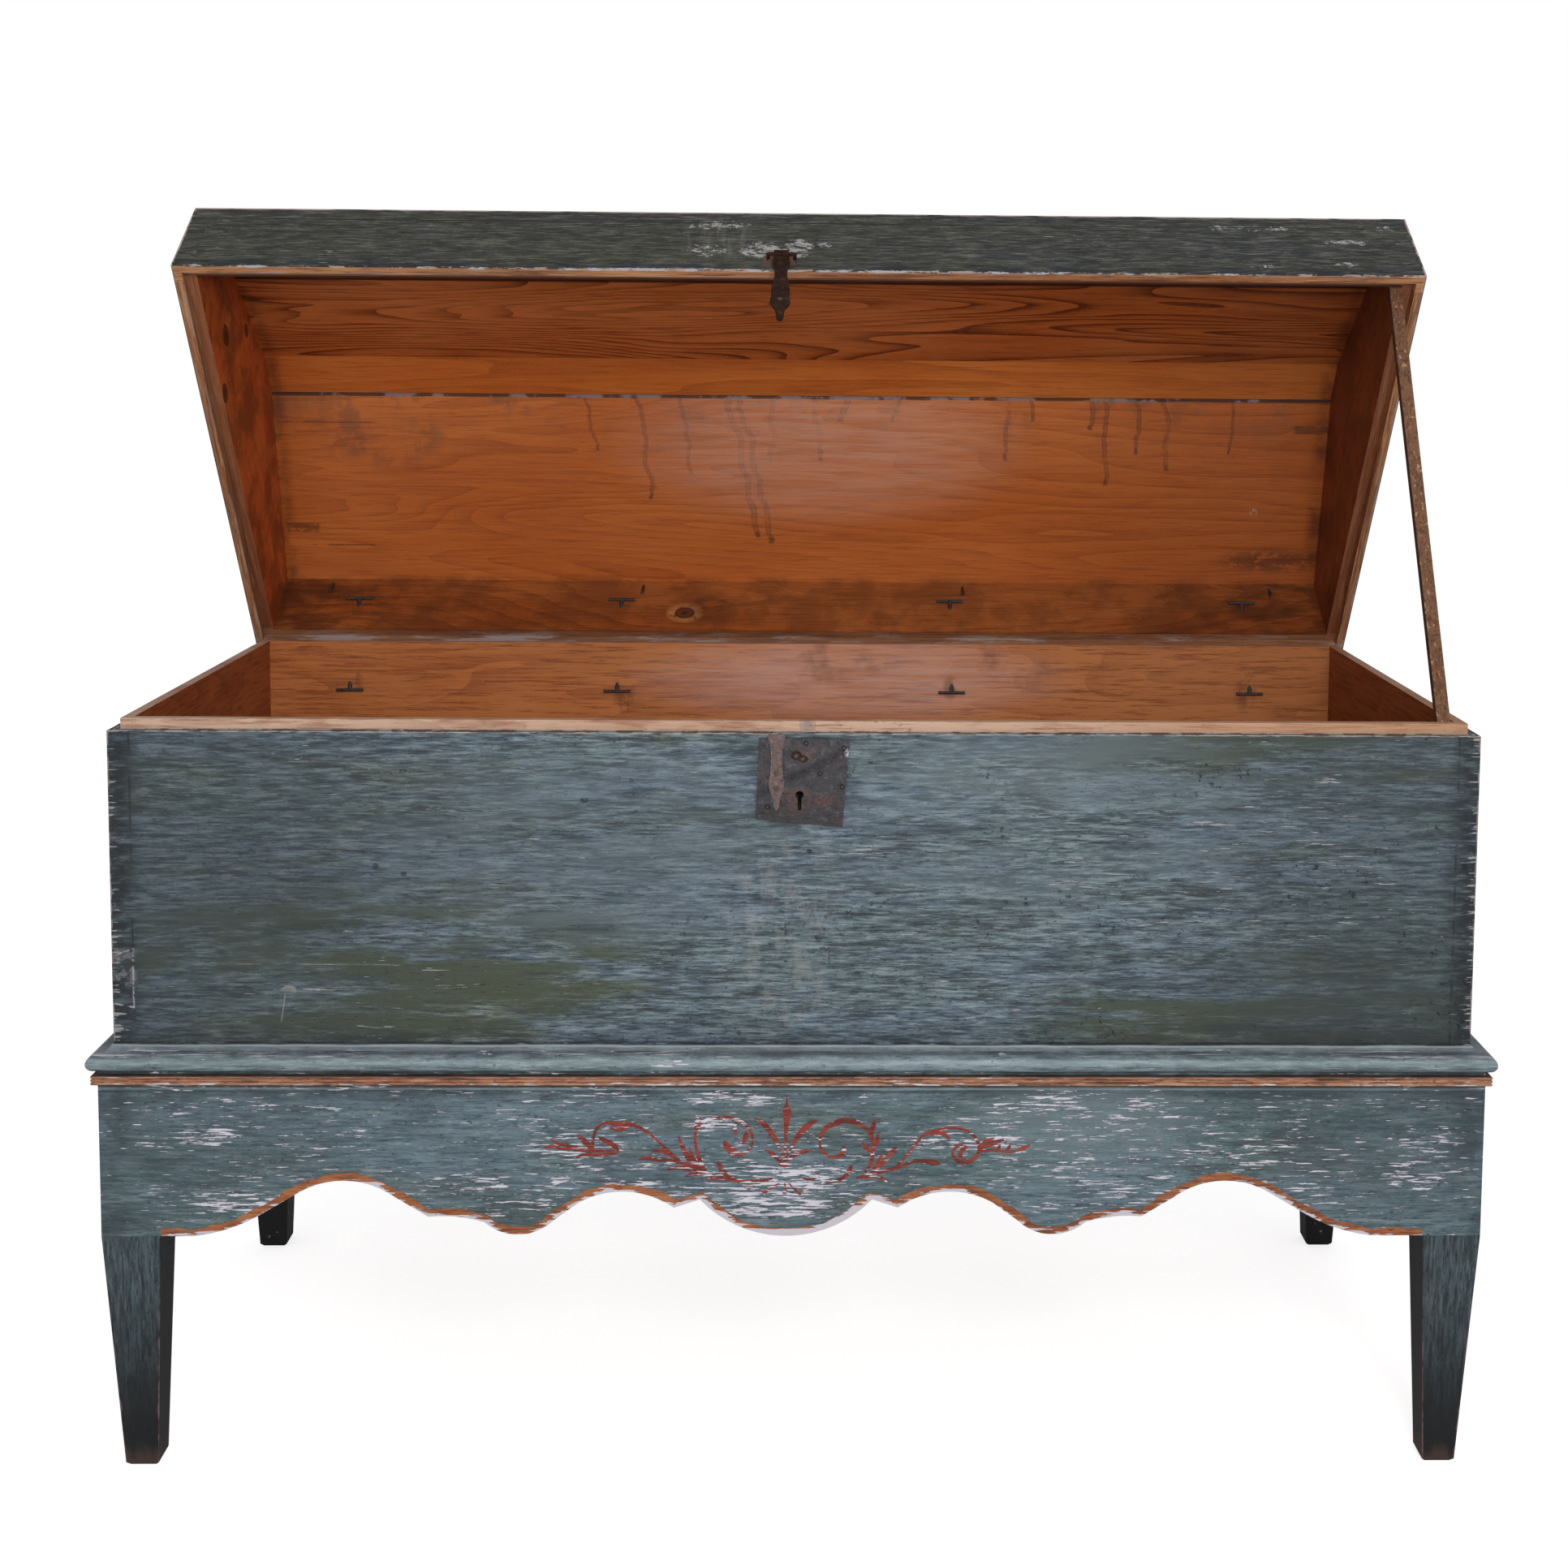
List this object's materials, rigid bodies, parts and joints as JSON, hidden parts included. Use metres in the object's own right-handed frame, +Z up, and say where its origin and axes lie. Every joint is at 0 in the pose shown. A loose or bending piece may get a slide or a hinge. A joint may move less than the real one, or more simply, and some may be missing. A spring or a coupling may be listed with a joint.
{
  "type": "storage chest",
  "caption": "Painted dovetailed pine chest with a three-sided lid, iron hasp and lock plate and a prop stick, on a low legged base with a scalloped apron.",
  "frame": {"origin": "on the floor, under the centre of the whole chest's bounding box with its lid propped open", "axes": "+X to the right of someone facing the chest's front, +Y towards its back, +Z up; the chest's length lies along X"},
  "size_m": [1.445, 0.7012, 1.3216],
  "materials": {
    "box_paint": "worn slate-teal paint outside, bare pine inside",
    "stand_paint": "worn grey-green paint with pale flakes",
    "dark_paint": "dark worn paint",
    "lid_paint": "dark paint outside, bare orange pine inside",
    "orange_paint": "worn orange paint",
    "bare_pine": "aged bare pine",
    "bare_stick": "aged bare wood",
    "iron": "dark rusted wrought iron"
  },
  "bodies": {
    "chest": {"front_left_leg": "dark_paint", "rear_left_leg": "dark_paint", "front_right_leg": "dark_paint", "rear_right_leg": "dark_paint", "front_apron": "stand_paint", "rear_apron": "stand_paint", "left_apron": "stand_paint", "right_apron": "stand_paint", "apron_pegs": "stand_paint", "front_torus_moulding": "stand_paint", "left_torus_moulding": "stand_paint", "right_torus_moulding": "stand_paint", "front_bead": "orange_paint", "left_bead": "orange_paint", "right_bead": "orange_paint", "moulding_brads": "iron", "bottom_front_board": "bare_pine", "bottom_middle_board": "bare_pine", "bottom_rear_board": "bare_pine", "bottom_nails": "iron", "box_front_board": "box_paint", "box_back_board": "box_paint", "box_left_board": "box_paint", "box_right_board": "box_paint", "box_hinge_pin_1": "iron", "box_hinge_pin_2": "iron", "box_hinge_pin_3": "iron", "box_hinge_pin_4": "iron", "lock_plate": "iron", "lock_plate_nails": "iron", "front_strap": "iron", "front_strap_rivets": "iron", "lock_case": "iron", "lock_case_nails": "iron", "lock_spring": "iron", "prop_pin": "iron"},
    "lid": {"lid_front_board": "lid_paint", "lid_rear_board": "lid_paint", "lid_left_end": "lid_paint", "lid_right_end": "lid_paint", "lid_front_cant": "lid_paint", "lid_rear_cant": "lid_paint", "lid_ridge_board": "lid_paint", "lid_nails": "iron", "lid_hinge_pin_1": "iron", "lid_hinge_pin_2": "iron", "lid_hinge_pin_3": "iron", "lid_hinge_pin_4": "iron", "hasp_staple": "iron"},
    "hasp": {"hasp": "iron", "hasp_rivet": "iron"},
    "prop_stick": {"prop_stick": "bare_stick"},
    "lock_bolt": {"lock_bolt": "iron"}
  },
  "joints": [
    {"name": "lid_swing", "type": "hinge", "parent": "chest", "child": "lid", "pos_m": [0, 0.25194, 0.7774], "axis": [-1, 0, 0], "range_deg": [-55, 15]},
    {"name": "hasp_swing", "type": "hinge", "parent": "lid", "child": "hasp", "pos_m": [-0.024, -0.06442, 1.27175], "axis": [-1, 0, 0], "range_deg": [0, 110]},
    {"name": "prop_fold", "type": "hinge", "parent": "chest", "child": "prop_stick", "pos_m": [0.6705, -0.29956, 0.771], "axis": [-1, 0, 0], "range_deg": [-22.5, 82.5]},
    {"name": "bolt_slide", "type": "slide", "parent": "chest", "child": "lock_bolt", "axis": [1, 0, 0], "range_m": [0, 0.012]}
  ],
  "couplings": [
    {"joint": "prop_fold", "follows": "lid_swing", "ratio": -1.5}
  ]
}
